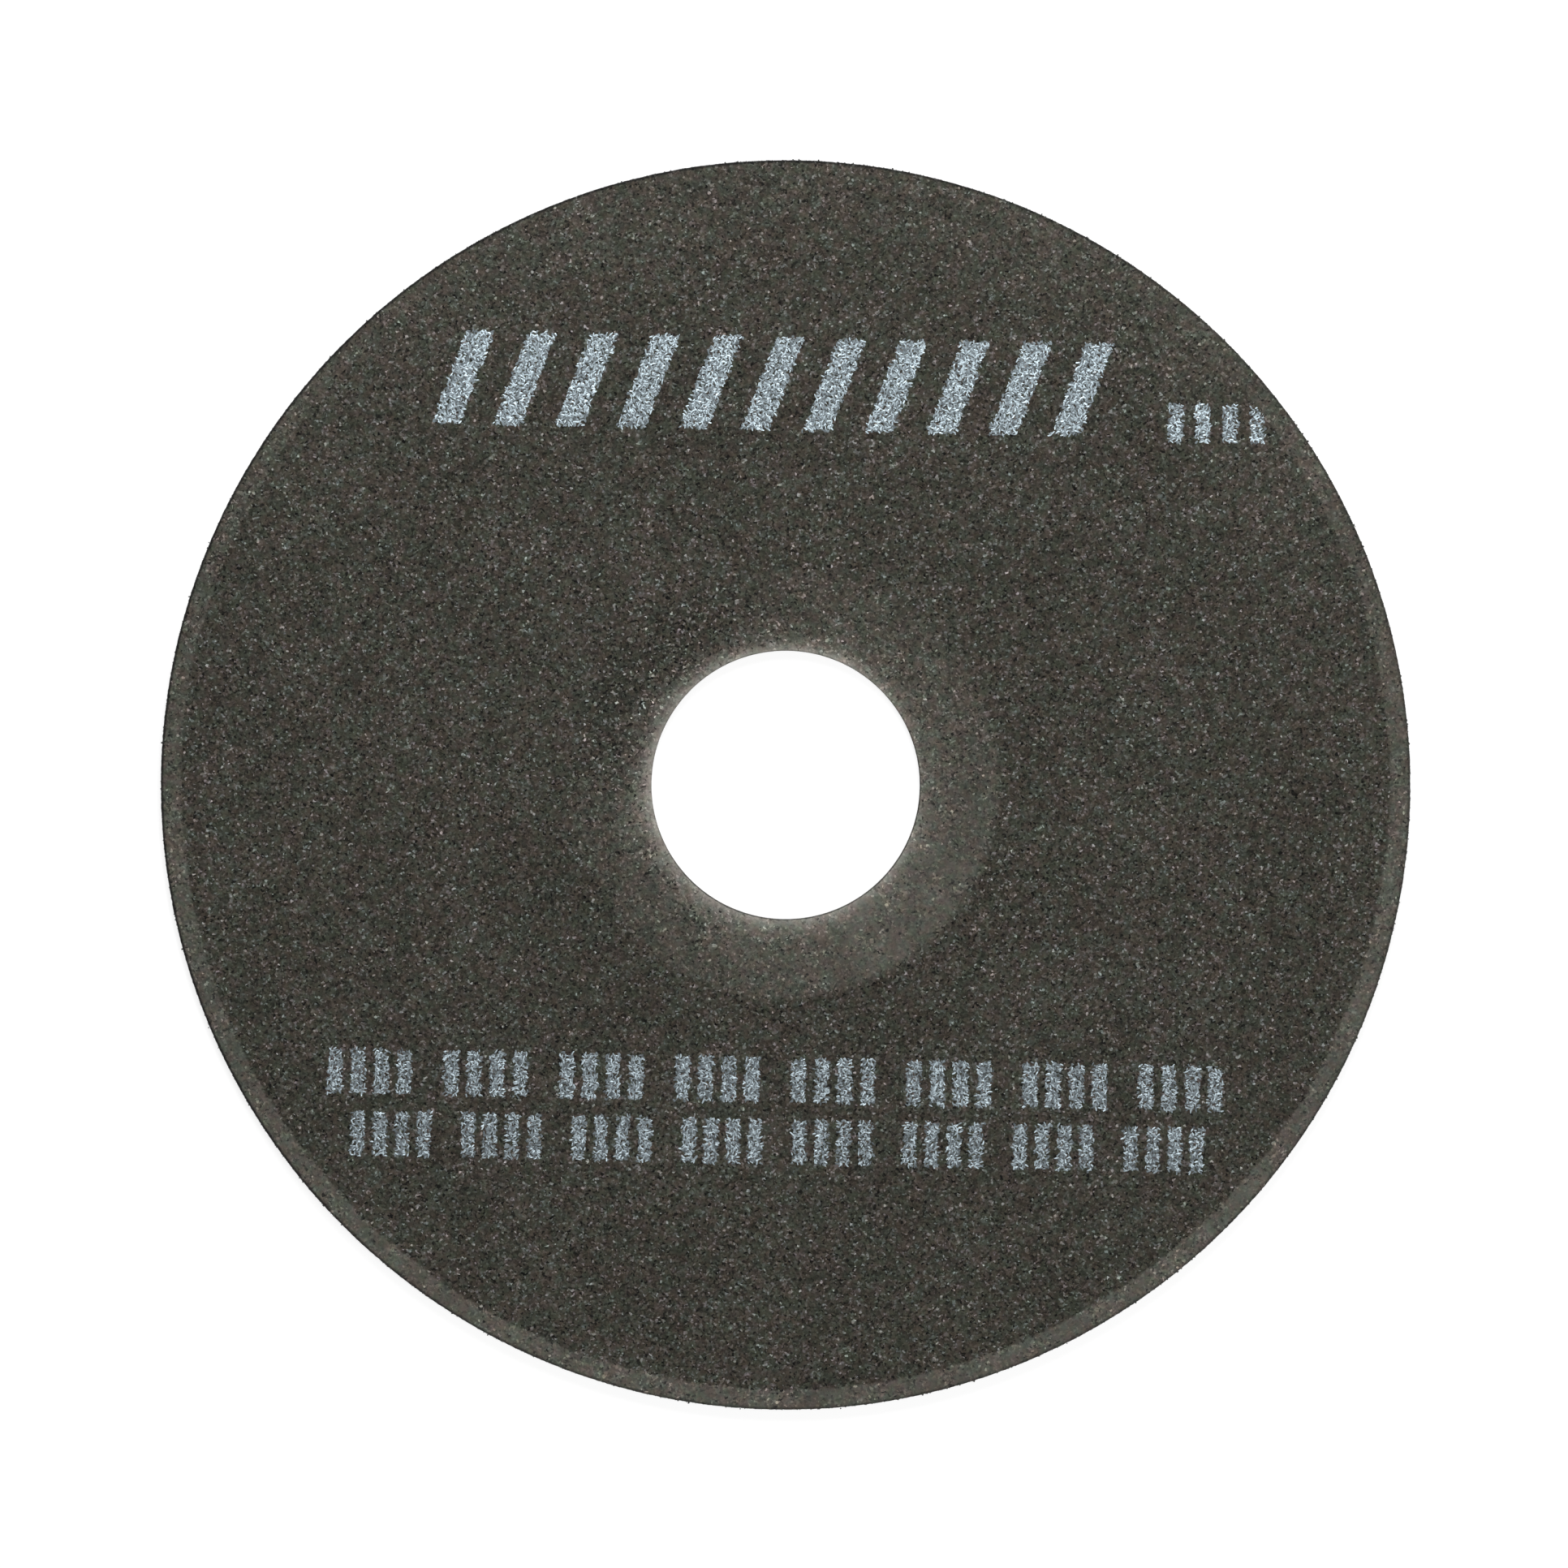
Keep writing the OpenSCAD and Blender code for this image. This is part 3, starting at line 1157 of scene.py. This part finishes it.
def add_softbox(name, place, width, power):
    """A square soft lamp aimed at the middle of the wheel."""
    lamp = bpy.data.lights.new(name, "AREA")
    lamp.shape = "SQUARE"
    lamp.size = width
    lamp.energy = power
    holder = bpy.data.objects.new(name, lamp)
    holder.location = place
    holder.rotation_mode = "QUATERNION"
    holder.rotation_quaternion = (-Vector(place)).to_track_quat("-Z", "Y")
    holder.visible_camera = False
    bpy.context.scene.collection.objects.link(holder)


def white_world():
    """Even light from all round, which reads white to the camera."""
    world = bpy.data.worlds.new("studio")
    world.use_nodes = True
    tree = world.node_tree
    tree.nodes.clear()
    path = tree.nodes.new("ShaderNodeLightPath")
    level = tree.nodes.new("ShaderNodeMapRange")
    level.inputs["To Min"].default_value = WORLD_LEVEL
    level.inputs["To Max"].default_value = 1.0
    tree.links.new(path.outputs["Is Camera Ray"], level.inputs["Value"])
    glow = tree.nodes.new("ShaderNodeBackground")
    glow.inputs["Color"].default_value = (1.0, 1.0, 1.0, 1.0)
    tree.links.new(level.outputs["Result"], glow.inputs["Strength"])
    out = tree.nodes.new("ShaderNodeOutputWorld")
    tree.links.new(glow.outputs["Background"], out.inputs["Surface"])
    bpy.context.scene.world = world


def add_camera(stage):
    """A long lens straight above the wheel, with +Y up in the picture."""
    data = bpy.data.cameras.new("camera")
    data.sensor_width = SENSOR_W
    data.lens = data.sensor_width * stage.distance / stage.field_w
    data.clip_end = FARTHEST
    camera = bpy.data.objects.new("camera", data)
    camera.location = (CAMERA_X, CAMERA_Y, HIGH.z + stage.distance)
    bpy.context.scene.collection.objects.link(camera)
    bpy.context.scene.camera = camera


# Operators


class WHEEL_OT_disc(bpy.types.Operator):
    """Build the bonded disc with its bore, bands and roughened edge"""

    bl_idname = "wheel.disc"
    bl_label = "Disc"

    def execute(self, context):
        scene = context.scene
        bm = build_disc(scene.wheel_sizes)
        disc = finished("wheel_disc", bm, abrasive_material(scene.wheel_sizes, scene.wheel_colours), True)
        add_two_sided_map(disc.data)
        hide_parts(NODE)
        return {"FINISHED"}


class WHEEL_OT_grit(bpy.types.Operator):
    """Build the abrasive grains that stand out of both faces and the rim"""

    bl_idname = "wheel.grit"
    bl_label = "Grit"

    def execute(self, context):
        scene = context.scene
        bare = grain_material("bare_grain", scene.wheel_colours.grain)
        dusty = grain_material("dusty_grain", scene.wheel_colours.rim_grain)
        for name, upper in (("grit_upper", True), ("grit_lower", False)):
            bm = build_face_grit(scene.wheel_sizes, scene.wheel_grit, upper)
            add_flat_map(finished(name, bm, bare, False).data, upper)
        bm = build_rim_grit(scene.wheel_grit)
        add_flat_map(finished("grit_rim", bm, dusty, False).data)
        return {"FINISHED"}


class WHEEL_OT_print(bpy.types.Operator):
    """Build the silver ink stripes on the upper face"""

    bl_idname = "wheel.print"
    bl_label = "Print"

    def execute(self, context):
        scene = context.scene
        colours = scene.wheel_colours
        for name, blocks, seed, colour in (
            ("ink_stripes", top_stripes(), STRIPES_SEED, colours.ink),
            ("ink_dashes", low_dashes(), DASHES_SEED, colours.thin_ink),
        ):
            bm, tones = build_print(scene.wheel_sizes, scene.wheel_print, blocks, seed)
            piece = finished(name, bm, ink_material(f"silver_{name}", colour), False)
            add_tones(piece.data, tones)
            add_flat_map(piece.data)
        return {"FINISHED"}


class WHEEL_OT_stage(bpy.types.Operator):
    """Set up the floor, the soft lamps and the camera"""

    bl_idname = "wheel.stage"
    bl_label = "Stage"

    def execute(self, context):
        scene = context.scene
        scene.view_settings.view_transform = "Standard"
        build_floor(scene.wheel_stage)
        for lamp in LAMPS:
            add_softbox(*lamp)
        white_world()
        add_camera(scene.wheel_stage)
        return {"FINISHED"}


class WHEEL_PT_panel(bpy.types.Panel):
    """Lists the steps that build the wheel"""

    bl_label = "Cut-off wheel"
    bl_idname = "WHEEL_PT_panel"
    bl_space_type = "VIEW_3D"
    bl_region_type = "UI"
    bl_category = "Cut-off wheel"

    def draw(self, context):
        for step in OPERATORS:
            self.layout.operator(step.bl_idname)
        for group in GROUPS:
            settings = getattr(context.scene, group)
            for name in settings.bl_rna.properties.keys():
                if name not in ("rna_type", "name"):
                    self.layout.prop(settings, name)


GROUPS = {
    "wheel_sizes": WheelSizes,
    "wheel_grit": GritSizes,
    "wheel_print": PrintSizes,
    "wheel_colours": FinishColours,
    "wheel_stage": StageSizes,
}
OPERATORS = (WHEEL_OT_stage, WHEEL_OT_disc, WHEEL_OT_grit, WHEEL_OT_print)


def register():
    """Adds the settings, the steps and the panel."""
    for group, kind in GROUPS.items():
        bpy.utils.register_class(kind)
        setattr(bpy.types.Scene, group, bpy.props.PointerProperty(type=kind))
    for kind in (*OPERATORS, WHEEL_PT_panel):
        bpy.utils.register_class(kind)


def unregister():
    """Takes away what register added."""
    for kind in reversed((*OPERATORS, WHEEL_PT_panel)):
        bpy.utils.unregister_class(kind)
    for group, kind in reversed(GROUPS.items()):
        delattr(bpy.types.Scene, group)
        bpy.utils.unregister_class(kind)


def main():
    """Builds the stage and the wheel."""
    register()
    bpy.ops.wheel.stage()
    bpy.ops.wheel.disc()
    bpy.ops.wheel.grit()
    bpy.ops.wheel.print()


if __name__ == "__main__":
    main()
